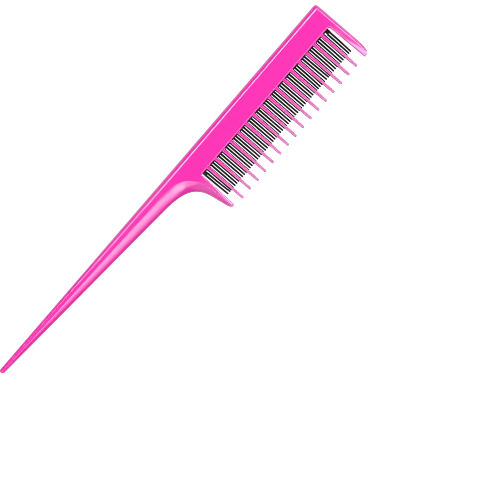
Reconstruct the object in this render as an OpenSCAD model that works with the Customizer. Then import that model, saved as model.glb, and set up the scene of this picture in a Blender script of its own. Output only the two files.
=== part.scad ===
// Rat tail comb: a tapering tail, a spine with two rows of long teeth between two guards, and a
// fine-tooth insert in a slot between the rows.
// The comb lies flat: +X runs along it to the head end, the teeth point to -Y, +Z is its thickness.
// The origin is the centre of its outline, on the surface that it lies on. All sizes in millimetres.

/* [Tail] */
// Length from the tip to the place where the heel curve begins
tail_length = 108; // [90:1:130]
// Height of the tail at its tip, across the comb
tail_tip_height = 2.4; // [2:0.1:3]
// Height of the tail where the heel curve begins
tail_root_height = 9.8; // [8:0.1:10.5]
// Thickness of the tail at its tip
tail_tip_thickness = 2.4; // [2:0.1:3.5]
// Width of the sloped flank along the tail's lower side, at the tip
flank_tip = 0.9; // [0.6:0.1:1.1]
// Width of the sloped flank where the heel curve begins
flank_root = 5.7; // [4:0.1:6]

/* [Spine] */
// Thickness of the comb, and twice the radius of its rounded back edge
thickness = 6; // [5.6:0.1:7]
// Height of the spine from the back edge to the roots of the teeth
spine_height = 12.1; // [10:0.1:14]
// Chamfer on the lower lips of the spine
lip_chamfer = 0.3; // [0.1:0.05:0.35]

/* [Guards] */
// Length of the heel, from the tail to the heel guard's inner face
heel_length = 25.2; // [24:0.1:28]
// How far the heel guard reaches below the spine
heel_guard_drop = 21.2; // [20:0.1:22]
// Width of the toe guard where it leaves the spine
toe_width = 4.3; // [4:0.1:6]
// Radius of the outer corner at the head end
corner_radius = 1.8; // [1:0.1:2.5]
// How far each guard's inner face leans away from the teeth, down to its tip
guard_draft = 0.6; // [0.2:0.1:0.8]
// Thickness of each guard at its tip
guard_tip_thickness = 3.8; // [3:0.1:4.5]

/* [Long teeth] */
// Number of long teeth in each row
long_count = 16; // [8:1:20]
// Distance from one long tooth to the next
long_pitch = 5.5; // [5:0.1:6.5]
// Length of a long tooth below the spine
long_length = 22.2; // [22:0.1:26]
// Width of a long tooth at its root
long_root = 1.55; // [1.3:0.05:1.8]
// Width of a long tooth at its tip
long_tip = 1.05; // [0.8:0.05:1.2]
// Thickness of a long tooth at its root
long_thickness = 1.5; // [1.2:0.05:1.55]
// Thickness of a long tooth at its tip
long_tip_thickness = 0.9; // [0.7:0.05:1.1]
// Distance from the heel guard's inner face to the middle of the first long tooth
heel_gap = 4.8; // [4.6:0.1:5.5]
// Distance from the middle of the last long tooth to the toe guard's inner face
toe_gap = 5.2; // [4.8:0.1:5.5]

/* [Fine-tooth insert] */
// Fine teeth for each long tooth
fine_per_long = 4; // [3:1:4]
// Length of a fine tooth below the spine
fine_length = 15.6; // [13:0.1:18]
// Width of a fine tooth at its root
fine_root = 0.76; // [0.6:0.02:0.8]
// Width of a fine tooth at its tip
fine_tip = 0.58; // [0.4:0.02:0.6]
// Thickness of a fine tooth at its root
fine_thickness = 1.3; // [1:0.05:1.4]
// Thickness of a fine tooth at its tip
fine_tip_thickness = 0.9; // [0.7:0.05:1]
// How far the end teeth of the insert lean inwards, in degrees
end_lean = 1.7; // [0:0.1:1.8]
// Thickness of the insert's bar, and width of the slot that holds it
bar_thickness = 2; // [1.8:0.05:2.1]
// Depth of the slot in the spine
slot_depth = 5; // [4:0.1:6]
// How far the bar stands out of the slot
bar_show = 0.5; // [0.3:0.05:1]
// How far the blocks at the bar's two ends stand out of the slot
end_block_show = 2; // [1.5:0.1:3]

/* [Hidden] */
body_colour = [1, 0.21, 0.73];
insert_colour = [0.06, 0.06, 0.07];
$fn = 48;

// Stations along the comb and across it
bay_length = heel_gap + (long_count - 1) * long_pitch + toe_gap;
overall_length = tail_length + heel_length + bay_length + toe_width;
x_tip = -overall_length / 2;
x_root = x_tip + tail_length;
x_heel = x_root + heel_length;
x_toe = x_heel + bay_length;
x_end = x_toe + toe_width;
y_back = (spine_height + long_length) / 2;
y_edge = y_back - spine_height;
y_teeth = y_edge - long_length;
half = thickness / 2;

// Curved surfaces: points across a flank and across the rest of a section, and how closely they
// crowd towards its two ends
flank_steps = 6;
face_steps = 8;
flank_crowding = 2;
face_crowding = 1.6;
// Height of the small land on each side of the parting line
land = 0.12;
// Widest flank, as a share of the section that it lies on
flank_most = 0.6;
// Share of the tail's length over which its taper eases in
taper_ease = 0.2;
// Radius of the rounding at the tail's tip
tip_round = 0.7;
// Radius of the small inner corner at each guard's tip
inner_corner = 0.4;

// Heel: where the curve meets the guard's outer edge, measured from the guard's inner face and
// from the spine's lower edge, and the slope of that edge
guard_join = [4.5, 10.7];
guard_slope = 0.17;
heel_handles = [11.8, 10.2];
// Flank width along the heel curve, as the four control values of its curve
heel_flank = [flank_root, 7.8, 5, 2.8];
// Place along the heel curve that faces the corner between back edge and spine
corner_at = 0.57;
// The inner face point that faces the join lies this much above it
join_lift = 0.8;
// Heel guard's tip: straight run below the join, handle of its curve, how far the low point of the
// curve lies towards the teeth, and the flank's width at the two ends of the curve
tip_run = 5.4;
tip_handle = 3;
tip_shift = 0.9;
tip_flank = [2.4, 1.4];

// Guards: share of the way down where the inner bevel begins, the share of the height that it
// takes off at the tip, its least and greatest width, and how late the guards get thinner
bevel_start = 0.3;
bevel_fall = 0.55;
bevel_width = [0.4, 3];
guard_taper = 1.5;

// Toe guard's outer edge: where it begins to bend in below the spine, the handle of that curve, and
// how far in it is at the tip's handle and at the tip
toe_bend = 13.6;
toe_handle = 4;
toe_tuck = [0.4, 2.6];

// Insert: the row is centred on the long teeth and a little wider than they are
first_tooth = x_heel + heel_gap;
fine_extra = 2;
fine_spread = 0.01;
fine_count = fine_per_long * long_count + fine_extra;
fine_pitch = long_pitch / fine_per_long + fine_spread;
row_middle = first_tooth + (long_count - 1) * long_pitch / 2;
fine_first = row_middle - (fine_count - 1) * fine_pitch / 2;
bar_start = fine_first - fine_root / 2;
bar_length = (fine_count - 1) * fine_pitch + fine_root;
block_length = fine_pitch + fine_root;
// Clearance between the bar and the long teeth
row_clearance = 0.1;
// Wider than the whole comb, for cutting shapes
beyond = 2 * overall_length;

function mix(a, b, t) = a + (b - a) * t;
function clamp01(t) = max(0, min(1, t));

// Cubic curve through a and d, with handles b and c
function curve(a, b, c, d, t) =
    a * pow(1 - t, 3) + 3 * b * t * pow(1 - t, 2) + 3 * c * t * t * (1 - t) + d * pow(t, 3);

// Height of a half-round edge of radius r at distance d inside it
function round_edge(d, r) = d >= r ? r : sqrt(max(0, r * r - pow(r - max(0, d), 2)));

// Taper that eases in over the first share of its length and is straight after that
function eased(s) =
    (s < taper_ease ? s * s / (2 * taper_ease) : s - taper_ease / 2) / (1 - taper_ease / 2);

// Half thickness of the body at x, from the spine to the tail's tip
function body_half(x) =
    half - (half - tail_tip_thickness / 2) * eased(clamp01((x_heel - x) / (x_heel - x_tip)));

// Half thickness of a guard at y, and its share of the way down to the tip
function guard_share(y) = clamp01((y_edge - y) / long_length);
function guard_half(y) = half - (half - guard_tip_thickness / 2) * pow(guard_share(y), guard_taper);

// Height of the bevel that grows along the inner side of a guard, at distance d from its inner face
function bevel_share(y) = clamp01((guard_share(y) - bevel_start) / (1 - bevel_start));
function inner_bevel(d, y) =
    let (share = bevel_share(y), width = mix(bevel_width[0], bevel_width[1], share))
    guard_half(y) * (1 - bevel_fall * share * (1 - clamp01(d / width)));

// Parabolic flank of width w that falls to the outer edge, at distance d inside it
function flank(d, w, h) = h * sqrt(clamp01(d / w));

// Distances along a section of the given length: closer together near both of its ends
function section_steps(length, w) = concat(
    [for (j = [0 : flank_steps]) w * pow(j / flank_steps, flank_crowding)],
    [for (j = [1 : face_steps]) mix(length, w, pow(1 - j / face_steps, face_crowding))]
);

// Closed ring of points: over the top from the outer edge to the inner one, and back underneath
function ring(points, heights) = concat(
    [for (j = [0 : len(points) - 1]) [points[j].x, points[j].y, half + max(land, heights[j])]],
    [for (j = [len(points) - 1 : -1 : 0]) [points[j].x, points[j].y, half - max(land, heights[j])]]
);

// Solid whose skin passes through a list of rings with equal numbers of points
module skin(rings) {
    count = len(rings[0]);
    last = len(rings) - 1;
    sides = [
        for (i = [0 : last - 1], j = [0 : count - 1])
            let (k = (j + 1) % count)
            [i * count + j, (i + 1) * count + j, (i + 1) * count + k, i * count + k]
    ];
    first_cap = [for (j = [0 : count - 1]) j];
    last_cap = [for (j = [count - 1 : -1 : 0]) last * count + j];
    polyhedron(points = [for (r = rings) each r], faces = concat(sides, [first_cap, last_cap]), convexity = 4);
}

// Outer edge of the tail and the width of its flank at x
function tail_share(x) = (x - x_tip) / tail_length;
function tail_low(x) = y_back - mix(tail_tip_height, tail_root_height, tail_share(x));
function tail_flank(x) = mix(flank_tip, flank_root, tail_share(x));

// Section of the body along the straight line from outer point a to inner point c
function body_ring(a, c, w) =
    let (
        length = norm(c - a),
        width = min(w, flank_most * length),
        points = [for (d = section_steps(length, width)) a + (c - a) * d / length]
    )
    ring(points, [
        for (p = points)
            let (h = min(body_half(p.x), guard_half(p.y)))
            min(flank(norm(p - a), width, h), round_edge(y_back - p.y, h),
                p.y < y_edge ? inner_bevel(norm(c - p), p.y) : h)
    ]);

// Section of the tail at x
function tail_ring(x) = body_ring([x, tail_low(x)], [x, y_back], tail_flank(x));

// Section close to the tail's tip, drawn in on every side as the tip rounds off at angle a
function tip_ring(a) =
    let (
        x = x_tip + tip_round * (1 - sin(a)),
        middle = [x, (tail_low(x) + y_back) / 2, half],
        share = 1 - tip_round * (1 - cos(a)) / (tail_tip_height / 2)
    )
    [for (p = tail_ring(x)) middle + (p - middle) * share];

module tail() {
    tip_rings = [for (a = [90 : -22.5 : 22.5]) tip_ring(a)];
    rings = [for (i = [0 : 12]) tail_ring(mix(x_tip + tip_round, x_root, i / 12))];
    color(body_colour) skin(concat(tip_rings, rings));
}

// Inner face of the heel guard at y, and the outline of its tip
function heel_inner(y) = x_heel - guard_draft * guard_share(y);
join = [x_heel - guard_join.x, y_edge - guard_join.y];
heel_tip_y = y_edge - heel_guard_drop;
heel_start = [x_root, tail_low(x_root)];
tail_slope = (tail_root_height - tail_tip_height) / tail_length;
tip_start = join + tip_run * [guard_slope, -1];

function heel_edge(t) = curve(
    heel_start,
    heel_start + heel_handles[0] * [1, -tail_slope],
    join + heel_handles[1] * [-guard_slope, 1],
    join, t);
function heel_edge_flank(t) = curve(heel_flank[0], heel_flank[1], heel_flank[2], heel_flank[3], t);

// Point on the far side of the heel that faces place t on its curve: on the back edge up to the
// corner, and on the inner face after it
function heel_far(t) =
    t <= corner_at
        ? [mix(x_root, x_heel, t / corner_at), y_back]
        : let (y = mix(y_back, join.y + join_lift, (t - corner_at) / (1 - corner_at))) [heel_inner(y), y];

// Outline of the heel guard's rounded tip, and the inner face beside it
function heel_tip_edge(t) = curve(
    tip_start,
    tip_start + tip_handle * [guard_slope, -1],
    [tip_start.x + tip_shift, heel_tip_y],
    [heel_inner(heel_tip_y) - inner_corner, heel_tip_y], t);
function heel_tip_far(t) =
    let (y = mix(join.y + join_lift - tip_run, heel_tip_y + inner_corner, t)) [heel_inner(y), y];

module heel_guard() {
    curve_places = concat(
        [for (i = [0 : 11]) corner_at * i / 12],
        [for (i = [0 : 12]) mix(corner_at, 1, i / 12)]
    );
    curve_rings = [
        for (t = curve_places) body_ring(heel_edge(t), heel_far(t), heel_edge_flank(t))
    ];
    tip_rings = [
        for (i = [0 : 8])
            let (t = i / 8)
            body_ring(heel_tip_edge(t), heel_tip_far(t), mix(tip_flank[0], tip_flank[1], t))
    ];
    color(body_colour) skin(concat(curve_rings, tip_rings));
}

module spine() {
    color(body_colour)
        translate([x_heel, 0, 0]) rotate([90, 0, 90])
            difference() {
                linear_extrude(bay_length) spine_profile();
                translate([y_edge - 1, half - bar_thickness / 2, bar_start - x_heel])
                    cube([slot_depth + 1, bar_thickness, bar_length]);
            }
}

// Section of the spine: a half-round back edge, flat faces and chamfered lower lips
module spine_profile() {
    translate([y_back - half, half]) circle(r = half);
    polygon([
        [y_edge, lip_chamfer],
        [y_edge + lip_chamfer, 0],
        [y_back - half, 0],
        [y_back - half, thickness],
        [y_edge + lip_chamfer, thickness],
        [y_edge, thickness - lip_chamfer]
    ]);
}

// Outer edge of the toe guard: a rounded corner, a straight side, and a long curve in to the tip
toe_bend_y = y_edge - toe_bend;
function toe_corner(y) = x_end - corner_radius + round_edge(y_back - y, corner_radius);
function toe_tip_edge(t) = curve(
    [x_end, toe_bend_y],
    [x_end, toe_bend_y - toe_handle],
    [x_end - toe_tuck[0], y_teeth],
    [x_end - toe_tuck[1], y_teeth], t);
function toe_inner(y) =
    x_toe + guard_draft * guard_share(y)
        + (y < y_teeth + inner_corner ? inner_corner - round_edge(y - y_teeth, inner_corner) : 0);

// Section of the toe guard at one y, from its outer edge to its inner face
function toe_ring(x_outer, y) =
    let (
        inner = toe_inner(y),
        length = x_outer - inner,
        h = guard_half(y),
        width = min(half, flank_most * length),
        steps = section_steps(length, width)
    )
    ring([for (d = steps) [x_outer - d, y]], [
        for (d = steps)
            min(round_edge(d * half / width, half) * h / half,
                round_edge(y_back - y, half),
                y < y_edge ? inner_bevel(length - d, y) : h)
    ]);

module toe_guard() {
    corner_rings = [
        for (a = [12 : 13 : 90])
            let (y = y_back - corner_radius * (1 - cos(a)))
            toe_ring(toe_corner(y), y)
    ];
    shoulder_rings = [
        for (i = [1 : 4])
            let (y = mix(y_back - corner_radius, y_back - half, i / 4))
            toe_ring(x_end, y)
    ];
    side_rings = [
        for (i = [0 : 6])
            let (y = mix(y_edge, toe_bend_y, i / 6))
            toe_ring(x_end, y)
    ];
    tip_rings = [
        for (i = [1 : 12])
            let (p = toe_tip_edge(i / 12))
            toe_ring(p.x, p.y)
    ];
    color(body_colour) skin(concat(corner_rings, shoulder_rings, side_rings, tip_rings));
}

// Outline of one tooth: straight tapering sides from y_from to a rounded tip at y_to
module tooth_outline(y_from, y_to, root, tip) {
    polygon([
        [-root / 2, y_from],
        [-tip / 2, y_to + tip / 2],
        [tip / 2, y_to + tip / 2],
        [root / 2, y_from]
    ]);
    translate([0, y_to + tip / 2]) circle(d = tip, $fn = 24);
}

// Wedge across the whole comb that gives a row of teeth its thickness, z_root and z_tip being the
// low and high faces at the spine and at the tips
module row_wedge(y_to, z_root, z_tip) {
    translate([-beyond / 2, 0, 0]) rotate([90, 0, 90]) linear_extrude(beyond)
        polygon([[y_edge, z_root[0]], [y_to, z_tip[0]], [y_to, z_tip[1]], [y_edge, z_root[1]]]);
}

// One row of long teeth, in front of the mid plane
module long_row() {
    z_low = half + bar_thickness / 2 + row_clearance;
    z_middle = z_low + long_thickness / 2;
    intersection() {
        for (i = [0 : long_count - 1])
            translate([first_tooth + i * long_pitch, 0, 0])
                linear_extrude(thickness) tooth_outline(y_edge, y_teeth, long_root, long_tip);
        row_wedge(y_teeth, [z_low, z_low + long_thickness],
            [z_middle - long_tip_thickness / 2, z_middle + long_tip_thickness / 2]);
    }
}

module front_teeth() { color(body_colour) long_row(); }

module back_teeth() { color(body_colour) translate([0, 0, thickness]) mirror([0, 0, 1]) long_row(); }

module insert_bar() {
    color(insert_colour)
        translate([bar_start, y_edge, half - bar_thickness / 2]) {
            translate([0, -bar_show, 0]) cube([bar_length, slot_depth + bar_show, bar_thickness]);
            for (x = [0, bar_length - block_length])
                translate([x, -end_block_show, 0]) cube([block_length, end_block_show, bar_thickness]);
        }
}

// Lean of fine tooth i in degrees: the two at each end lean towards the middle of the row
function fine_lean(i) = i < 2 ? end_lean : i > fine_count - 3 ? -end_lean : 0;

module fine_teeth() {
    y_tip = y_edge - fine_length;
    color(insert_colour)
        intersection() {
            for (i = [0 : fine_count - 1])
                let (y_from = y_edge - (fine_lean(i) == 0 ? bar_show : end_block_show))
                translate([fine_first + i * fine_pitch, y_edge, 0]) rotate([0, 0, fine_lean(i)])
                    linear_extrude(thickness)
                        tooth_outline(y_from - y_edge, y_tip - y_edge, fine_root, fine_tip);
            row_wedge(y_tip - 1, [half - fine_thickness / 2, half + fine_thickness / 2],
                [half - fine_tip_thickness / 2, half + fine_tip_thickness / 2]);
        }
}

tail();
heel_guard();
spine();
toe_guard();
front_teeth();
back_teeth();
insert_bar();
fine_teeth();
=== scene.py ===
"""A rat tail comb on a pale floor: a tapering tail, a spine with two rows of long teeth between two
guards, and a fine-tooth insert in a slot between the rows.

Lengths are in millimetres until a mesh is made. The comb lies as its frame does: +X runs along it
to the head end, the teeth point to -Y, and +Z is its thickness, with the middle plane half way up.
"""

import logging
import math
from dataclasses import dataclass, field
from enum import Enum
from typing import Any

import bmesh
import bpy
import numpy as np
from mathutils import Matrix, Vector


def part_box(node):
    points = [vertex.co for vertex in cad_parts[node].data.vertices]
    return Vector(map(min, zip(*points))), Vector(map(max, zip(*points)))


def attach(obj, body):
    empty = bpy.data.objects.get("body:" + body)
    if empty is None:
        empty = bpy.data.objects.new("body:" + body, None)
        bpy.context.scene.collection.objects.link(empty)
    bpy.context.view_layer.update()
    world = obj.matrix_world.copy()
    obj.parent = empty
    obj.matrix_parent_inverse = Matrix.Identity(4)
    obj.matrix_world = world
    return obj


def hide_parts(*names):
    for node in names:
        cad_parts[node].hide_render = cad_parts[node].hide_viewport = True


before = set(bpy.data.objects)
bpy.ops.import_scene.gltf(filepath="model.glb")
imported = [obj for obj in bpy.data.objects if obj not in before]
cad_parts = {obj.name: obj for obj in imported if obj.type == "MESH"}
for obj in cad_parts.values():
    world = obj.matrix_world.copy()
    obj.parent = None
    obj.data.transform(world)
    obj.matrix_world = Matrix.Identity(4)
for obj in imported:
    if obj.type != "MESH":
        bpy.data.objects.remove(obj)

Array = np.ndarray
LOG = logging.getLogger("comb")
MM = 0.001
ROOT = "root"
# Corners closer than this, in metres, are merged
MERGE_WITHIN = 1e-7
# Edges that turn by more than this are kept sharp
SHARP_ABOVE = math.radians(38)
# A flat light's power for each square metre and each unit of brightness
WATTS_PER_RADIANCE = 4.0


class Slot(Enum):
    """The record's material slots."""

    BODY = "body_plastic"
    INSERT = "insert_plastic"


class Mark(Enum):
    """Values from 0 to 1 that ride on the points of a mesh and steer its finish."""

    RIM = "rim"
    # Painted glow: paler colour where light would pass through the plastic, at the teeth's tips and
    # down the guards
    PAINTED_GLOW = "painted_glow"
    # Painted glow: paler colour where light would pass through a guard's inner bevel
    PAINTED_BEVEL_GLOW = "cut"
    # Painted shade: darker colour where the outer edges and the teeth's sides fall away from the
    # light
    PAINTED_SHADE = "painted_shade"


# Shapes as whole arrays --------------------------------------------------------------------------


def mix(a: Any, b: Any, t: Any) -> Any:
    """Value at share t of the way from a to b."""
    return a + (b - a) * t


def clamp01(t: Any) -> Array:
    """The value held between 0 and 1."""
    return np.clip(t, 0.0, 1.0)


def curve(a: Any, b: Any, c: Any, d: Any, t: Array) -> Array:
    """Cubic curve from a to d with handles b and c, for numbers or for points in the plane.

    Args:
        a: Start.
        b: Handle of the start.
        c: Handle of the end.
        d: End.
        t: Places along the curve, from 0 to 1.

    Returns:
        One value or point for each place: a(1-t)^3 + 3bt(1-t)^2 + 3ct^2(1-t) + dt^3.
    """
    a, b, c, d = (np.asarray(v, float) for v in (a, b, c, d))
    t = t.reshape(t.shape + (1,) * a.ndim)
    return a * (1 - t) ** 3 + 3 * b * t * (1 - t) ** 2 + 3 * c * t**2 * (1 - t) + d * t**3


def round_edge(d: Array, r: Array) -> Array:
    """Height of a half-round edge of radius r at distance d inside it: sqrt(r^2 - (r - d)^2)."""
    return np.sqrt(np.maximum(r**2 - (r - np.clip(d, 0.0, r)) ** 2, 0.0))


def soft_min(a: Array, b: Array, k: float) -> Array:
    """The smaller of a and b, with the corner where they cross rounded off by a parabola.

    Args:
        a: First heights.
        b: Second heights.
        k: Difference below which the two are blended.

    Returns:
        min(a, b) - max(k - |a - b|, 0)^2 / 4k.
    """
    return np.minimum(a, b) - np.maximum(k - np.abs(a - b), 0.0) ** 2 / (4 * k)


def eased_steps(count: int, ease: float = 0.82) -> Array:
    """Shares from 0 to 1 that crowd towards both ends: t - ease * sin(2 pi t) / (2 pi)."""
    t = np.linspace(0.0, 1.0, count)
    return t - ease * np.sin(2 * math.pi * t) / (2 * math.pi)


# Meshes ------------------------------------------------------------------------------------------


@dataclass
class Shell:
    """One or more closed surfaces.

    Attributes:
        points: Corners in millimetres, one row each.
        faces: Lists of corner numbers.
        marks: For each mark, one value for each corner.
    """

    points: Array
    faces: list[list[int]]
    marks: dict[Mark, Array] = field(default_factory=dict)

    def make(self, name: str, material: bpy.types.Material) -> bpy.types.Object:
        """Puts the surfaces into a mesh object at the origin, in metres.

        Corners that coincide are merged, faces are turned outwards, and edges that turn by more
        than a set angle are kept sharp.

        Args:
            name: The piece's name.
            material: Its finish.

        Returns:
            The new object, linked to the scene.
        """
        mesh = bpy.data.meshes.new(name)
        mesh.from_pydata((self.points * MM).tolist(), [], self.faces)
        for mark, values in self.marks.items():
            layer = mesh.attributes.new(mark.value, "FLOAT", "POINT")
            layer.data.foreach_set("value", values.astype(np.float32))
        work = bmesh.new()
        work.from_mesh(mesh)
        bmesh.ops.remove_doubles(work, verts=work.verts, dist=MERGE_WITHIN)
        bmesh.ops.recalc_face_normals(work, faces=work.faces)
        work.to_mesh(mesh)
        work.free()
        mesh.shade_smooth()
        mesh.set_sharp_from_angle(angle=SHARP_ABOVE)
        mesh.materials.append(material)
        piece = bpy.data.objects.new(name, mesh)
        bpy.context.scene.collection.objects.link(piece)
        return piece


def tube_faces(rings: int, count: int, start: int = 0) -> list[list[int]]:
    """Faces of a closed tube: a quad between each two neighbours of a ring and the next ring.

    Args:
        rings: Number of rings.
        count: Number of corners in a ring.
        start: Number of the first corner.

    Returns:
        The side's quads, then one face over each end.
    """
    i, j = np.meshgrid(np.arange(rings - 1), np.arange(count), indexing="ij")
    k = (j + 1) % count
    sides = np.stack([i * count + j, (i + 1) * count + j, (i + 1) * count + k, i * count + k], -1)
    first = np.arange(count)
    last = (rings - 1) * count + first[::-1]
    caps = [(first + start).tolist(), (last + start).tolist()]
    return (sides.reshape(-1, 4) + start).tolist() + caps


def tube(rings: Array, marks: dict[Mark, Array]) -> Shell:
    """A closed skin over rings of points.

    Args:
        rings: Points, with one axis for the ring, one for the place in it and one for X, Y and Z.
        marks: For each mark, one value for each point of each ring.

    Returns:
        The shell, closed by a flat face at each end.
    """
    flat = {mark: values.reshape(-1) for mark, values in marks.items()}
    return Shell(rings.reshape(-1, 3), tube_faces(*rings.shape[:2]), flat)


def folded(plan: Array, heights: Array, middle: float) -> Array:
    """Rings that run over the top from the outer edge to the inner one and back underneath.

    Args:
        plan: X and Y of each point of each section.
        heights: Half the thickness there.
        middle: Height of the middle plane.

    Returns:
        The rings, at middle + height and then at middle - height in the reverse order.
    """
    top = np.concatenate([plan, (middle + heights)[..., None]], -1)
    low = np.concatenate([plan, (middle - heights)[..., None]], -1)[:, ::-1]
    return np.concatenate([top, low], 1)


def both_sides(values: Array) -> Array:
    """The values of a section's points for the top and, reversed, for the underside."""
    return np.concatenate([values, values[:, ::-1]], 1)


# Finishes ----------------------------------------------------------------------------------------


class Graph:
    """A material's nodes, with short calls that add a node and join it to others."""

    def __init__(self, name: str) -> None:
        """Starts an empty material of that name."""
        self.material = bpy.data.materials.new(name)
        self.material.use_nodes = True
        self.tree = self.material.node_tree
        self.tree.nodes.clear()
        self.place = self.add("ShaderNodeTexCoord").outputs["Object"]

    def add(self, kind: str, inputs: dict[str | int, Any] | None = None, **settings: Any) -> Any:
        """Adds one node.

        Args:
            kind: Blender's name for the type of node.
            inputs: For each socket, a plain value or the output that feeds it.
            **settings: The node's own properties.

        Returns:
            The node.
        """
        node = self.tree.nodes.new(kind)
        for name, value in settings.items():
            setattr(node, name, value)
        for key, value in (inputs or {}).items():
            if isinstance(value, bpy.types.NodeSocket):
                self.tree.links.new(value, node.inputs[key])
            else:
                node.inputs[key].default_value = value
        return node

    def stretched(self, scale: tuple[float, float, float]) -> Any:
        """The object's coordinates, multiplied along each axis."""
        inputs = {"Vector": self.place, "Scale": scale}
        return self.add("ShaderNodeMapping", inputs).outputs["Vector"]

    def noise(self, vector: Any, scale: float, detail: float = 2.0, rough: float = 0.5) -> Any:
        """Cloudy noise from 0 to 1, with features of 1 / scale metres."""
        inputs = {"Vector": vector, "Scale": scale, "Detail": detail, "Roughness": rough}
        return self.add("ShaderNodeTexNoise", inputs).outputs["Fac"]

    def ramp(self, value: Any, low: float, high: float, to_low: float, to_high: float) -> Any:
        """The value carried from low..high to to_low..to_high, and held there."""
        inputs = {"Value": value, 1: low, 2: high, 3: to_low, 4: to_high}
        return self.add("ShaderNodeMapRange", inputs).outputs["Result"]

    def maths(self, operation: str, a: Any, b: Any) -> Any:
        """One sum of two values."""
        return self.add("ShaderNodeMath", {0: a, 1: b}, operation=operation).outputs["Value"]

    def blend(self, share: Any, a: Any, b: Any) -> Any:
        """Mixes two colours.

        Args:
            share: How much of the second colour there is, from 0 to 1.
            a: First colour.
            b: Second colour.

        Returns:
            Colour a where the share is 0, and b where it is 1.
        """
        node = self.add("ShaderNodeMix", data_type="RGBA")
        for key, value in (("Factor_Float", share), ("A_Color", a), ("B_Color", b)):
            socket = next(s for s in node.inputs if s.identifier == key)
            if isinstance(value, bpy.types.NodeSocket):
                self.tree.links.new(value, socket)
            else:
                socket.default_value = value
        return next(s for s in node.outputs if s.identifier == "Result_Color")

    def mark(self, mark: Mark) -> Any:
        """The value of a mark on the mesh."""
        return self.add("ShaderNodeAttribute", attribute_name=mark.value).outputs["Fac"]

    def bump(self, height: Any, distance: float, strength: float, normal: Any = None) -> Any:
        """Bends a normal by a height.

        Args:
            height: The height, from 0 to 1.
            distance: What a height of 1 stands for, in metres.
            strength: How strongly it bends the normal.
            normal: The normal to bend, or None for the mesh's own.

        Returns:
            The bent normal.
        """
        inputs = {"Height": height, "Distance": distance, "Strength": strength}
        if normal is not None:
            inputs["Normal"] = normal
        return self.add("ShaderNodeBump", inputs).outputs["Normal"]

    def finish(self, shader: Any) -> bpy.types.Material:
        """Joins the shader to the surface and returns the material."""
        self.add("ShaderNodeOutputMaterial", {"Surface": shader.outputs[0]})
        return self.material


Colour = tuple[float, float, float, float]


@dataclass(frozen=True)
class Relief:
    """One layer of a surface's small unevenness.

    Attributes:
        scale: Features in a metre.
        distance: Height of the features, in metres.
        strength: How strongly they bend the surface.
        detail: Octaves of the noise.
    """

    scale: float
    distance: float
    strength: float
    detail: float = 2.0

    def over(self, g: Graph, normal: Any = None) -> Any:
        """The normal bent by this layer, on top of another one if it is given."""
        height = g.noise(g.place, self.scale, self.detail)
        return g.bump(height, self.distance, self.strength, normal)


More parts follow.
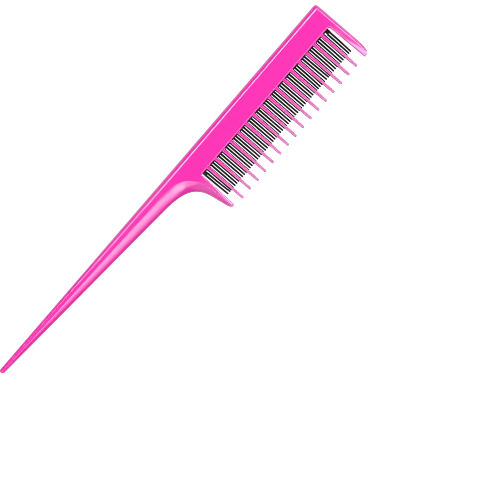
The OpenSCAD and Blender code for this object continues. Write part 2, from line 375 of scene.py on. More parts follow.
@dataclass(frozen=True)
class MouldedPink:
    """Polished hot pink plastic with painted glow and painted shade, and scuffs at its edges.

    Attributes:
        name: The material's name.
        colour: The plastic's colour.
        deep: Its colour in the deepest of the flow streaks.
        pale: Its colour in the tips of the long teeth, a painted glow of light passing through.
        clear: Its colour where a bevel lets the most light through, painted as a glow.
        painted_shade_colour: Its colour in the painted shade where edges fall away from the light.
        scuffed: Its colour in the scuffs.
        clouds: Scale of the slow clouds.
        streaks: Scale of the flow streaks across the comb.
        streak_run: How much longer they are along the comb, as its inverse.
        speckles: Scale of the specks that break up the scuffs.
        hairs: Scale of the hairline scratches across the comb.
        hair_run: The inverses of how much longer they are along the comb and through it.
        roughness: Roughness of the polished plastic.
        uneven: How much rougher it is where the clouds are thick.
        scratched: How much rougher a scratch is.
        scuff_roughness: How much rougher a scuff is.
        waves: Slow waviness of the moulding.
        grain: Fine grain.
        scratch_depth: Depth of a scratch, in metres.
        scratch_strength: How strongly a scratch bends the surface.
        ior: Refractive index.
        gloss: Weight and roughness of the polished skin.
    """

    name: str = "moulded_pink"
    colour: Colour = (0.73, 0.021, 0.345, 1.0)
    deep: Colour = (0.69, 0.017, 0.325, 1.0)
    # pale and clear are painted glow of light through the plastic; dusky is painted shade
    pale: Colour = (0.56, 0.19, 0.44, 1.0)
    clear: Colour = (0.92, 0.36, 0.78, 1.0)
    painted_shade_colour: Colour = (0.16, 0.025, 0.100, 1.0)
    scuffed: Colour = (0.74, 0.09, 0.42, 1.0)
    clouds: float = 70.0
    streaks: float = 900.0
    streak_run: float = 0.06
    speckles: float = 2600.0
    hairs: float = 5200.0
    hair_run: tuple[float, float] = (0.03, 0.5)
    roughness: float = 0.12
    uneven: float = 0.03
    scratched: float = 0.08
    scuff_roughness: float = 0.4
    waves: Relief = Relief(160.0, 0.0002, 0.12, 1.0)
    grain: Relief = Relief(3800.0, 0.00002, 0.12)
    scratch_depth: float = 0.00001
    scratch_strength: float = 0.1
    ior: float = 1.58
    gloss: tuple[float, float] = (0.4, 0.06)

    def build(self) -> bpy.types.Material:
        """Makes the material.

        Slow clouds and flow streaks along the comb vary the colour, the thin and cut marks paint a
        paler glow where light would pass through the plastic, the handled mark paints shade on the
        outer edges that fall away from the light, and the rim mark with a fine noise scuffs them.
        The height is the sum of a slow waviness, a fine grain and the scratches.

        Returns:
            The material.
        """
        g = Graph(self.name)
        clouds = g.noise(g.place, self.clouds, 3.0)
        streaks = g.noise(g.stretched((self.streak_run, 1.0, 1.0)), self.streaks, 3.0, 0.6)
        shade = g.maths("MULTIPLY", g.ramp(clouds, 0.35, 0.65, 0.0, 1.0),
                        g.ramp(streaks, 0.3, 0.7, 0.2, 1.0))
        plain = g.blend(g.maths("MULTIPLY", shade, 0.5), self.colour, self.deep)
        # Painted glow: paler where light would pass through the tips, the guards and their bevels
        lit = g.blend(g.mark(Mark.PAINTED_GLOW), plain, self.pale)
        lit = g.blend(g.mark(Mark.PAINTED_BEVEL_GLOW), lit, self.clear)
        # Painted shade: darker where the outer edges fall away from the light
        painted_shade = g.maths("MULTIPLY", g.mark(Mark.PAINTED_SHADE), g.ramp(clouds, 0.3, 0.7, 0.8, 1.0))
        darkened = g.blend(painted_shade, lit, self.painted_shade_colour)
        speckle = g.noise(g.place, self.speckles, 4.0, 0.7)
        scuff = g.maths("MULTIPLY", g.mark(Mark.RIM), g.ramp(speckle, 0.5, 0.68, 0.0, 0.7))
        colour = g.blend(scuff, darkened, self.scuffed)
        hair_run, hair_through = self.hair_run
        hairs = g.noise(g.stretched((hair_run, 1.0, hair_through)), self.hairs, 1.0)
        scratch = g.ramp(hairs, 0.66, 0.74, 0.0, 1.0)
        rough = g.ramp(clouds, 0.3, 0.7, self.roughness, self.roughness + self.uneven)
        rough = g.maths("ADD", rough, g.maths("MULTIPLY", scratch, self.scratched))
        rough = g.maths("ADD", rough, g.maths("MULTIPLY", scuff, self.scuff_roughness))
        grain = self.grain.over(g, self.waves.over(g))
        sunk = g.maths("SUBTRACT", 0.0, scratch)
        inputs = {
            "Base Color": colour,
            "Roughness": rough,
            "Normal": g.bump(sunk, self.scratch_depth, self.scratch_strength, grain),
            "IOR": self.ior,
            "Coat Weight": self.gloss[0],
            "Coat Roughness": self.gloss[1],
        }
        return g.finish(g.add("ShaderNodeBsdfPrincipled", inputs))


@dataclass(frozen=True)
class MouldedBlack:
    """Black plastic of the insert, a little duller than the body, with dusty grey scuffs.

    Attributes:
        name: The material's name.
        colour: The plastic's colour.
        dusty: Its colour under dust and in the scuffs.
        clouds: Scale of the clouds of dust.
        speckles: Scale of the specks that break up the scuffs.
        roughness: Roughness of the clean plastic.
        uneven: How much rougher it is where the clouds are thick.
        scuff_roughness: How much rougher a scuff is.
        waves: Slow waviness of the moulding.
        grain: Fine grain.
        ior: Refractive index.
        shine: Strength of its reflections.
    """

    name: str = "moulded_black"
    colour: Colour = (0.003, 0.003, 0.004, 1.0)
    dusty: Colour = (0.02, 0.02, 0.022, 1.0)
    clouds: float = 240.0
    speckles: float = 3000.0
    roughness: float = 0.22
    uneven: float = 0.08
    scuff_roughness: float = 0.3
    waves: Relief = Relief(400.0, 0.0001, 0.1, 1.0)
    grain: Relief = Relief(5200.0, 0.00002, 0.2)
    ior: float = 1.5
    shine: float = 0.35

    def build(self) -> bpy.types.Material:
        """Makes the material: dark clouds of dust, a fine grain, and rough scuffs at the edges."""
        g = Graph(self.name)
        clouds = g.noise(g.place, self.clouds, 4.0, 0.6)
        speckle = g.noise(g.place, self.speckles, 4.0, 0.7)
        scuff = g.maths("MULTIPLY", g.mark(Mark.RIM), g.ramp(speckle, 0.48, 0.7, 0.0, 0.8))
        dust = g.maths("MAXIMUM", g.ramp(clouds, 0.5, 0.8, 0.0, 0.2), scuff)
        rough = g.ramp(clouds, 0.3, 0.7, self.roughness, self.roughness + self.uneven)
        inputs = {
            "Base Color": g.blend(dust, self.colour, self.dusty),
            "Roughness": g.maths("ADD", rough, g.maths("MULTIPLY", scuff, self.scuff_roughness)),
            "Normal": self.grain.over(g, self.waves.over(g)),
            "IOR": self.ior,
            "Specular IOR Level": self.shine,
        }
        return g.finish(g.add("ShaderNodeBsdfPrincipled", inputs))


# The comb's body ---------------------------------------------------------------------------------


def node_box(node: str) -> tuple[Array, Array]:
    """Lowest and highest corner of a node at rest, in millimetres."""
    low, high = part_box(node)
    return np.array(low) / MM, np.array(high) / MM


@dataclass(frozen=True)
class Stations:
    """Places along the comb and across it that its pieces share, in millimetres.

    Attributes:
        x_tip: The tail's tip.
        x_root: Where the tail meets the heel.
        x_heel: Where the heel guard meets the spine, which is its inner face's upper end.
        x_toe: Where the spine meets the toe guard.
        x_end: The head end.
        y_back: The back edge.
        y_edge: The spine's lower edge.
        y_heel_tip: The heel guard's tip.
        y_teeth: The tips of the long teeth and of the toe guard.
        middle: Height of the middle plane.
    """

    x_tip: float
    x_root: float
    x_heel: float
    x_toe: float
    x_end: float
    y_back: float
    y_edge: float
    y_heel_tip: float
    y_teeth: float
    middle: float

    @classmethod
    def from_frame(cls) -> "Stations":
        """Reads the places from the boxes of the frame's nodes."""
        tail_low, tail_high = node_box("tail")
        spine_low, spine_high = node_box("spine")
        heel_low, _ = node_box("heel_guard")
        toe_low, toe_high = node_box("toe_guard")
        return cls(
            x_tip=tail_low[0],
            x_root=tail_high[0],
            x_heel=spine_low[0],
            x_toe=spine_high[0],
            x_end=toe_high[0],
            y_back=spine_high[1],
            y_edge=spine_low[1],
            y_heel_tip=heel_low[1],
            y_teeth=toe_low[1],
            middle=(spine_low[2] + spine_high[2]) / 2,
        )


@dataclass(frozen=True)
class BodyForm:
    """Half the thickness of the body at every place, from the tail's tip to the head end.

    Attributes:
        at: The shared stations.
        half: Half the thickness of the spine, and the radius of its back edge.
        tail_tip_half: Half the thickness at the tail's tip.
        taper_ease: Share of the tail over which its taper eases in.
        guard_tip_half: Half the thickness at the guards' tips.
        guard_taper: How late the guards get thinner.
        bevel_start: Share of the way down a guard where its inner bevel begins.
        bevel_fall: Share of the height that it takes off at the heel's and the toe guard's tip.
        bevel_width: The bevel's least and greatest width.
        draft: How far a guard's inner face leans away from the teeth, down to its tip.
        lip: Width and depth of the rounded lips round the bay that holds the teeth.
        heel_lip: Depth of the lip on the heel guard, as a share of that.
        heel_fillet: Radius of the bay's corner at the heel guard.
        toe_fillet: Radius of the bay's corner at the toe guard.
        crease: How softly the flank meets the flat face.
        flank_most: Widest flank, as a share of the section.
        land: Half the height of the parting line.
        flash: How far the parting line stands proud.
        worn_lip: Width of the worn part of a lip.
        worn_parting: Height of the worn part on each side of the parting line.
        guard_glow: How much painted glow of light through the guards there is, next to the thinnest
            teeth.
        guard_glow_by: Share of the way down a guard by which it does so.
        bevel_glow: Depth at which the painted glow of light through the heel's and the toe guard's
            bevel is fullest.
        bevel_rim: Width of the strip along a guard's inner edge where that painted glow fades out.
        painted_shade_below: Share of the full height below which painted shade darkens a flank, and
            the back edge or head end, where they fall away from the light.
    """

    at: Stations
    half: float = 3.0
    tail_tip_half: float = 1.2
    taper_ease: float = 0.2
    guard_tip_half: float = 1.9
    guard_taper: float = 1.5
    bevel_start: float = 0.3
    bevel_fall: tuple[float, float] = (0.35, 0.55)
    bevel_width: tuple[float, float] = (0.4, 3.0)
    draft: float = 0.45
    lip: tuple[float, float] = (1.3, 0.5)
    heel_lip: float = 0.35
    heel_fillet: float = 0.5
    toe_fillet: float = 1.2
    crease: float = 0.08
    flank_most: float = 0.6
    land: float = 0.05
    flash: float = 0.03
    worn_lip: float = 0.7
    worn_parting: float = 0.8
    # These set the painted glow of light through the guards and the painted shade on the outer
    # edges
    guard_glow: float = 0.25
    guard_glow_by: float = 0.25
    bevel_glow: tuple[float, float] = (0.6, 0.25)
    bevel_rim: float = 0.6
    painted_shade_below: tuple[float, float] = (0.3, 0.95)

    def body_half(self, x: Array) -> Array:
        """Half thickness along the comb: even over the spine, easing into a straight taper."""
        s = clamp01((self.at.x_heel - x) / (self.at.x_heel - self.at.x_tip))
        eased = np.where(s < self.taper_ease, s**2 / (2 * self.taper_ease), s - self.taper_ease / 2)
        return self.half - (self.half - self.tail_tip_half) * eased / (1 - self.taper_ease / 2)

    def guard_share(self, y: Array) -> Array:
        """Share of the way down from the spine's lower edge to the teeth's tips."""
        return clamp01((self.at.y_edge - y) / (self.at.y_edge - self.at.y_teeth))

    def guard_half(self, y: Array) -> Array:
        """Half thickness down a guard: even at first, and thinner by a power of the share."""
        fall = self.guard_share(y) ** self.guard_taper
        return self.half - (self.half - self.guard_tip_half) * fall

    def inner_bevel(self, d: Array, y: Array, fall: float) -> Array:
        """Height of the bevel beside a guard's inner face, at distance d from it.

        Args:
            d: Distances from the inner face.
            y: Places down the guard.
            fall: Share of the height that the bevel takes off at the tip.

        Returns:
            The guard's half thickness less a straight fall that widens and deepens to the tip.
        """
        share = clamp01((self.guard_share(y) - self.bevel_start) / (1 - self.bevel_start))
        width = mix(self.bevel_width[0], self.bevel_width[1], share)
        return self.guard_half(y) * (1 - fall * share * (1 - clamp01(d / width)))

    def bay_distance(self, x: Array, y: Array) -> Array:
        """Distance from the bay that holds the teeth, which has two rounded upper corners.

        Args:
            x: Places along the comb.
            y: Places across it.

        Returns:
            For each corner of radius r, with q and v the distances past its two sides plus r:
            hypot(max(q, 0), max(v, 0)) + min(max(q, v), 0) - r, and the greater of the two.
        """
        lean = self.draft * self.guard_share(y)
        corners = (
            (self.at.x_heel - lean - x, self.heel_fillet),
            (x - self.at.x_toe - lean, self.toe_fillet),
        )
        distances = []
        for past, r in corners:
            q, v = past + r, y - self.at.y_edge + r
            outside = np.hypot(np.maximum(q, 0.0), np.maximum(v, 0.0))
            distances.append(outside + np.minimum(np.maximum(q, v), 0.0) - r)
        return np.maximum(*distances)

    def lip_fall(self, x: Array, y: Array) -> Array:
        """How far the bay's lip lies below the face: a quarter ellipse, shallower at the heel."""
        width, depth = self.lip
        share = mix(self.heel_lip, 1.0, clamp01(1 + (x - self.at.x_heel) / width))
        return depth * share * (1 - round_edge(self.bay_distance(x, y), width) / width)

    def marks(self, x: Array, y: Array, heights: Array, bevelled: Any = 0.0) -> dict[Mark, Array]:
        """Marks for the points of sections, over the top and back underneath.

        Args:
            x: Places along the comb.
            y: Places across it.
            heights: Half thickness there.
            bevelled: Depth of a guard's inner bevel there, as a share of the one that glows most.

        Returns:
            The rim mark, which is the closeness to the bay's lips and, at a quarter, to the
            parting line; the thin mark, a painted glow of light through the plastic that grows down
            the narrow guards; the cut mark, a painted glow that is full where a bevel makes them
            thinner; and the handled mark, painted shade that grows where the outer edges fall away
            from the light.
        """
        inside = self.bay_distance(x, y)
        lip = clamp01(1 - inside / self.worn_lip) ** 2
        parting = clamp01(1 - heights / self.worn_parting) / 4
        # Painted glow of light through the plastic, growing down the guards
        painted_glow = self.guard_glow * clamp01(self.guard_share(y) / self.guard_glow_by)
        # Painted glow where the inner bevel makes a guard thinner, fading at its inner edge
        cut = clamp01(np.broadcast_to(bevelled, x.shape)) * clamp01(inside / self.bevel_rim)
        # Painted shade: darker where the height falls below a share of the full one, at the outer
        # edges
        full = self.body_height(x, y)
        outer = (y > self.at.y_back - full) | (x > self.at.x_toe)
        below = np.where(outer, self.painted_shade_below[1], self.painted_shade_below[0])
        painted_shade = clamp01(1 - heights / (below * full)) * (1 - cut)
        return {
            Mark.RIM: both_sides(np.maximum(lip, parting)),
            Mark.PAINTED_GLOW: both_sides(painted_glow),
            Mark.PAINTED_BEVEL_GLOW: both_sides(cut),
            Mark.PAINTED_SHADE: both_sides(painted_shade),
        }

    def body_height(self, x: Array, y: Array) -> Array:
        """Half thickness before any edge is rounded: the lesser of the body's and the guards'."""
        return np.minimum(self.body_half(x), self.guard_half(y))

    def sections(self, outer: Array, inner: Array, flank: Array, flank_steps: int = 26,
                 face_steps: int = 44) -> tuple[Array, dict[Mark, Array]]:
        """Rings of the body over straight lines from its outer edge to its inner one.

        The height is the least of three: a parabolic flank h * sqrt(d / w) beside the outer edge,
        blended into the flat face; the half-round back edge; and, on a guard, the inner bevel. The
        rounded lip of the bay is taken off that.

        Args:
            outer: Outer end of each line.
            inner: Inner end of each line.
            flank: Width of the flank on each line.
            flank_steps: Points across the flank.
            face_steps: Points across the rest.

        Returns:
            The rings and their marks.
        """
        length = np.linalg.norm(inner - outer, axis=1)[:, None]
        width = np.minimum(flank[:, None], self.flank_most * length)
        near = width * np.linspace(0.0, 1.0, flank_steps) ** 2
        far = width + (length - width) * eased_steps(face_steps + 1)[1:]
        d = np.concatenate([near, far], 1)
        ahead = ((inner - outer) / length)[:, None, :]
        plan = outer[:, None, :] + ahead * d[..., None]
        x, y = plan[..., 0], plan[..., 1]
        full = self.body_height(x, y)
        flanks = soft_min(full * np.sqrt(d / width), full, self.crease)
        back = round_edge(self.at.y_back - y, full)
        cut = self.inner_bevel(length - d, y, self.bevel_fall[0])
        bevel = np.where(y < self.at.y_edge, cut, full)
        heights = np.minimum(np.minimum(flanks, back), bevel) - self.lip_fall(x, y)
        heights = np.maximum(heights, self.land)
        plan[:, 0] -= ahead[:, 0] * self.flash
        marks = self.marks(x, y, heights, (full - bevel) / self.bevel_glow[0])
        return folded(plan, heights, self.at.middle), marks


def draw_in(rings: Array, shares: Array) -> Array:
    """Rings shrunk towards their middles, each by its own share."""
    middles = (rings.min(1, keepdims=True) + rings.max(1, keepdims=True)) / 2
    return middles + (rings - middles) * shares[:, None, None]


@dataclass(frozen=True)
class Tail:
    """The long tail that parts the hair, with a sloped flank along its lower side.

    Attributes:
        form: The body's form.
        tip_height: Height across the comb at the tip.
        root_height: Height where the heel curve begins.
        tip_flank: Width of the flank at the tip.
        root_flank: Width of the flank where the heel curve begins.
        flank_power: How late the flank widens between the two.
        tip_depth: Length over which the tip rounds off.
        tip_start: How far round the tip's quarter circle its first section is, in degrees.
        tip_rings: Number of sections round the tip.
        rings: Number of sections along the tail.
    """

    form: BodyForm
    tip_height: float = 2.4
    root_height: float = 9.8
    tip_flank: float = 0.8
    root_flank: float = 5.95
    flank_power: float = 1.12
    tip_depth: float = 1.1
    tip_start: float = 7.0
    tip_rings: int = 12
    rings: int = 230

    def share(self, x: Array) -> Array:
        """Share of the way from the tip to the heel."""
        return (x - self.form.at.x_tip) / (self.form.at.x_root - self.form.at.x_tip)

    def low_edge(self, x: Array) -> Array:
        """Y of the lower edge, which is straight."""
        return self.form.at.y_back - mix(self.tip_height, self.root_height, self.share(x))

    def shell(self) -> Shell:
        """Sections square across the tail; those at the tip are drawn in as a quarter circle is.

        Returns:
            The tail's closed skin.
        """
        at = self.form.at
        turn = np.radians(np.linspace(self.tip_start, 90.0, self.tip_rings))
        tip_x = at.x_tip + self.tip_depth * (1 - np.cos(turn))
        along = np.linspace(at.x_tip + self.tip_depth, at.x_root, self.rings)[1:]
        x = np.concatenate([tip_x, along])
        outer = np.stack([x, self.low_edge(x)], 1)
        inner = np.stack([x, np.full_like(x, at.y_back)], 1)
        flank = mix(self.tip_flank, self.root_flank, self.share(x) ** self.flank_power)
        rings, marks = self.form.sections(outer, inner, flank)
        shares = np.ones_like(x)
        shares[: len(turn)] = np.sin(turn)
        return tube(draw_in(rings, shares), marks)


@dataclass(frozen=True)
class HeelGuard:
    """The crescent heel that joins the tail to the spine and runs down into the first guard.

    Attributes:
        form: The body's form.
        tail: The tail, whose edge and flank the heel carries on.
        join: Where the curve meets the guard's edge, back from the inner face and down from the
            spine.
        slope: How far that edge leans in for each millimetre down.
        handles: Lengths of the curve's two handles.
        flank: Middle two and last control values of the flank's width; the first is the tail's.
        corner_at: Place along the curve that faces the corner between back edge and spine.
        join_lift: How much higher the inner face's point is than the join that it faces.
        tip_run: Straight run of the edge below the join.
        tip_handle: Handle of the tip's curve.
        tip_shift: How far the low point of that curve lies towards the teeth.
        tip_flank: Width of the flank at the two ends of the tip's curve.
        inner_corner: Radius of the small inner corner at the tip.
        tip_close: Place along the tip's curve where its height begins to round off.
        rings: Numbers of sections before and after the corner, down the run and round the tip.
    """

    form: BodyForm
    tail: Tail
    join: tuple[float, float] = (4.5, 10.7)
    slope: float = 0.17
    handles: tuple[float, float] = (11.8, 10.2)
    flank: tuple[float, float, float] = (7.8, 5.0, 2.8)
    corner_at: float = 0.57
    join_lift: float = 0.8
    tip_run: float = 5.4
    tip_handle: float = 3.0
    tip_shift: float = 0.9
    tip_flank: tuple[float, float] = (2.4, 1.4)
    inner_corner: float = 0.4
    tip_close: float = 0.7
    rings: tuple[int, int, int, int] = (110, 130, 26, 60)

    def inner_face(self, y: Array) -> Array:
        """X of the guard's inner face, which leans away from the teeth."""
        return self.form.at.x_heel - self.form.draft * self.form.guard_share(y)

    def far_side(self, t: Array) -> Array:
        """Points that the curve faces: along the back edge, then down the inner face.

        Args:
            t: Places along the curve, from 0 to 1.

        Returns:
            One point for each place.
        """
        at = self.form.at
        along = mix(at.x_root, at.x_heel, t / self.corner_at)
        low = at.y_edge - self.join[1] + self.join_lift
        y = mix(at.y_back, low, np.maximum(t - self.corner_at, 0.0) / (1 - self.corner_at))
        x = np.where(t <= self.corner_at, along, self.inner_face(y))
        return np.stack([x, y], 1)

    def shell(self) -> Shell:
        """Sections that fan round the heel's curve, run down the guard and close at its tip.

        The outer ends follow a cubic curve, a straight run and a second cubic curve round the tip,
        where the height falls by sqrt(1 - c^2) as c, the share of the closing, goes from 0 to 1.

        Returns:
            The heel guard's closed skin.
        """
        at = self.form.at
        down = np.array([self.slope, -1.0])
        start = np.array([at.x_root, float(self.tail.low_edge(np.array(at.x_root)))])
        fall = (self.tail.root_height - self.tail.tip_height) / (at.x_root - at.x_tip)
        join = np.array([at.x_heel - self.join[0], at.y_edge - self.join[1]])
        first = start + self.handles[0] * np.array([1.0, -fall])
        second = join - self.handles[1] * down
        to_corner = np.linspace(0.0, self.corner_at, self.rings[0])
        to_join = np.linspace(self.corner_at, 1.0, self.rings[1])
        t = np.unique(np.concatenate([to_corner, to_join]))
        bend_outer = curve(start, first, second, join, t)
        bend_flank = curve(self.tail.root_flank, *self.flank, t)

        run = np.linspace(0.0, 1.0, self.rings[2])[1:]
        run_outer = join + self.tip_run * run[:, None] * down
        run_y = join[1] + self.join_lift - self.tip_run * run
        run_inner = np.stack([self.inner_face(run_y), run_y], 1)
        run_flank = mix(self.flank[2], self.tip_flank[0], run)

        s = np.linspace(0.0, 1.0, self.rings[3])[1:]
        tip_start = join + self.tip_run * down
        low_x = float(self.inner_face(np.array(at.y_heel_tip))) - self.inner_corner
        tip_outer = curve(tip_start, tip_start + self.tip_handle * down,
                          [tip_start[0] + self.tip_shift, at.y_heel_tip], [low_x, at.y_heel_tip], s)
        tip_y = mix(run_y[-1], at.y_heel_tip + self.inner_corner, s)
        tip_inner = np.stack([self.inner_face(tip_y), tip_y], 1)

        outer = np.concatenate([bend_outer, run_outer, tip_outer])
        inner = np.concatenate([self.far_side(t), run_inner, tip_inner])
        flank = np.concatenate([bend_flank, run_flank, mix(*self.tip_flank, s)])
        rings, marks = self.form.sections(outer, inner, flank)
        closing = clamp01((s - self.tip_close) / (1 - self.tip_close))
        shares = np.ones(len(outer))
        shares[-len(s):] = np.sqrt(np.maximum(1 - closing**2, 0.0))
        offset = rings[..., 2] - at.middle
        height = np.maximum(np.abs(offset) * shares[:, None], self.form.land)
        rings[..., 2] = at.middle + np.sign(offset) * height
        return tube(rings, marks)


@dataclass(frozen=True)
class Spine:
    """The spine between the guards, with a half-round back edge and the insert's slot.

    Attributes:
        form: The body's form.
        slot_half: Half the width of the slot.
        slot_depth: Depth of the slot.
        steps: Points across the face.
        even_rings: Sections along the even stretch.
        fillet_rings: Sections round each fillet of the bay.
    """

    form: BodyForm
    slot_half: float = 1.0
    slot_depth: float = 5.0
    steps: int = 72
    even_rings: int = 60
    fillet_rings: int = 14

    def low_edge(self, x: Array) -> Array:
        """Y of the lower edge, which runs down at both ends as the bay's fillets do.

        Args:
            x: Places along the comb.

        Returns:
            The edge's Y less r - sqrt(r^2 - (r - d)^2) at distance d inside a fillet of radius r.
        """
        at, form = self.form.at, self.form
        y = np.full_like(x, at.y_edge)
        for past, r in ((x - at.x_heel, form.heel_fillet), (at.x_toe - x, form.toe_fillet)):
            y -= np.where(past < r, r - round_edge(past, r), 0.0)
        return y

    def stations(self) -> Array:
        """Places of the sections along X, crowded in the fillets as the cosine of their turn."""
        at = self.form.at
        bend = 1 - np.cos(np.linspace(0.0, math.pi / 2, self.fillet_rings))
        left = at.x_heel + self.form.heel_fillet * bend
        right = at.x_toe - self.form.toe_fillet * bend[::-1]
        even = np.linspace(left[-1], right[0], self.even_rings)[1:-1]
        return np.concatenate([left, even, right])

    def shell(self) -> Shell:
        """Sections square across the spine, each with the slot's four corners in its lower face.

        Outside the slot's length those corners lie on the lower face, so that its end walls stand
        between two sections at the same place.

        Returns:
            The spine's closed skin.
        """
        at = self.form.at
        bar_low, bar_high = node_box("insert_bar")
        plain = self.stations()
        inside = plain[(plain > bar_low[0]) & (plain < bar_high[0])]
        before, after = plain[plain <= bar_low[0]], plain[plain >= bar_high[0]]
        ends = [np.array([bar_low[0]] * 2), np.array([bar_high[0]] * 2)]
        x = np.concatenate([before, ends[0], inside, ends[1], after])
        cut = np.zeros(len(x))
        cut[len(before) + 1: len(before) + 3 + len(inside)] = self.slot_depth
        low = self.low_edge(x)
        y = low[:, None] + (at.y_back - low)[:, None] * eased_steps(self.steps)
        plan = np.stack([np.broadcast_to(x[:, None], y.shape), y], -1)
        full = self.form.body_height(plan[..., 0], y)
        rounded = np.minimum(full, round_edge(at.y_back - y, full))
        heights = np.maximum(rounded - self.form.lip_fall(plan[..., 0], y), self.form.land)
        skin = folded(plan, heights, at.middle)
        deep = low + cut
        z_low, z_high = at.middle - self.slot_half, at.middle + self.slot_half
        corners = [(low, z_low), (deep, z_low), (deep, z_high), (low, z_high)]
        slot = np.stack([np.stack([x, y, np.full_like(x, z)], -1) for y, z in corners], 1)
        plain_slot = np.zeros((len(x), len(corners)))
        marks = self.form.marks(plan[..., 0], y, heights)
        marks = {mark: np.concatenate([values, plain_slot], 1) for mark, values in marks.items()}
        return tube(np.concatenate([skin, slot], 1), marks)


@dataclass(frozen=True)
class ToeGuard:
    """The guard at the head end, with a rounded outer corner and a half-round outer edge.

    Attributes:
        form: The body's form.
        corner_power: Power of the norm that rounds the outer corner.
        bend: How far below the spine the outer edge begins to curve in.
        handle: Handle of that curve.
        tuck: How far in the curve is at its lower handle and at the tip.
        inner_corner: Radius of the small inner corner at the tip.
        tip_round: Height over which the tip rounds off.
        round_most: Width of the outer rounding, as a share of the guard's.
        corner_start: How far round the outer corner its first section is, in degrees.
        rings: Numbers of sections round the corner, down the side and round the tip.
        steps: Points across the guard.
    """

    form: BodyForm
    corner_power: float = 3.6
    bend: float = 13.6
    handle: float = 4.0
    tuck: tuple[float, float] = (0.4, 2.6)
    inner_corner: float = 0.4
    tip_round: float = 1.0
    round_most: float = 0.56
    corner_start: float = 4.0
    rings: tuple[int, int, int] = (34, 90, 60)
    steps: int = 70

    def outline(self) -> Array:
        """Outer edge of the guard: straight down from the corner, then a curve in to the tip.

        Returns:
            X and Y of each section's outer end.
        """
        at = self.form.at
        bend_y = at.y_edge - self.bend
        turn = np.radians(np.linspace(self.corner_start, 90.0, self.rings[0]))
        corner = at.y_back - self.form.half * (1 - np.cos(turn))
        side = np.linspace(corner[-1], bend_y, self.rings[1])[1:-1]
        straight = np.concatenate([corner, side])
        tip = curve(
            [at.x_end, bend_y],
            [at.x_end, bend_y - self.handle],
            [at.x_end - self.tuck[0], at.y_teeth],
            [at.x_end - self.tuck[1], at.y_teeth],
            np.linspace(0.0, 1.0, self.rings[2]),
        )
        return np.concatenate([np.stack([np.full_like(straight, at.x_end), straight], 1), tip])

    def inner_face(self, y: Array) -> Array:
        """X of the inner face, which leans off the teeth and turns a small corner at the tip."""
        at = self.form.at
        corner = self.inner_corner - round_edge(y - at.y_teeth, self.inner_corner)
        return at.x_toe + self.form.draft * self.form.guard_share(y) + corner

    def shell(self) -> Shell:
        """Sections along X, one below the other.

        With a and b the shares of the way out across the back edge's rounding and the outer one's,
        the height is h * sqrt(1 - r^2), where r is the p-norm of a and b.

        Returns:
            The toe guard's closed skin.
        """
        at, form, p = self.form.at, self.form, self.corner_power
        edge_x, y = self.outline().T
        inner = self.inner_face(y)
        width = self.round_most * (edge_x - inner)
        a = clamp01((form.half - (at.y_back - y)) / form.half)
        start = edge_x - width * (1 - (1 - a**p) ** (1 / p))
        x = start[:, None] + (inner - start)[:, None] * eased_steps(self.steps)
        y2 = np.broadcast_to(y[:, None], x.shape)
        b = clamp01((width[:, None] - (edge_x[:, None] - x)) / width[:, None])
        r = np.minimum((a[:, None] ** p + b**p) ** (1 / p), 1.0)
        full = form.guard_half(y2)
        cut = form.inner_bevel(x - inner[:, None], y2, form.bevel_fall[1])
        bevel = np.where(y2 < at.y_edge, cut, full)
        heights = np.minimum(full * np.sqrt(1 - r**2), bevel)
        heights = heights - form.lip_fall(x, y2)
        end = clamp01(1 - (y2 - at.y_teeth) / self.tip_round)
        heights = np.maximum(heights * np.sqrt(1 - end**2), form.land)
        plan = np.stack([x, y2], -1)
        marks = form.marks(x, y2, heights, (full - bevel) / form.bevel_glow[1])
        return tube(folded(plan, heights, at.middle), marks)


# Teeth and insert --------------------------------------------------------------------------------


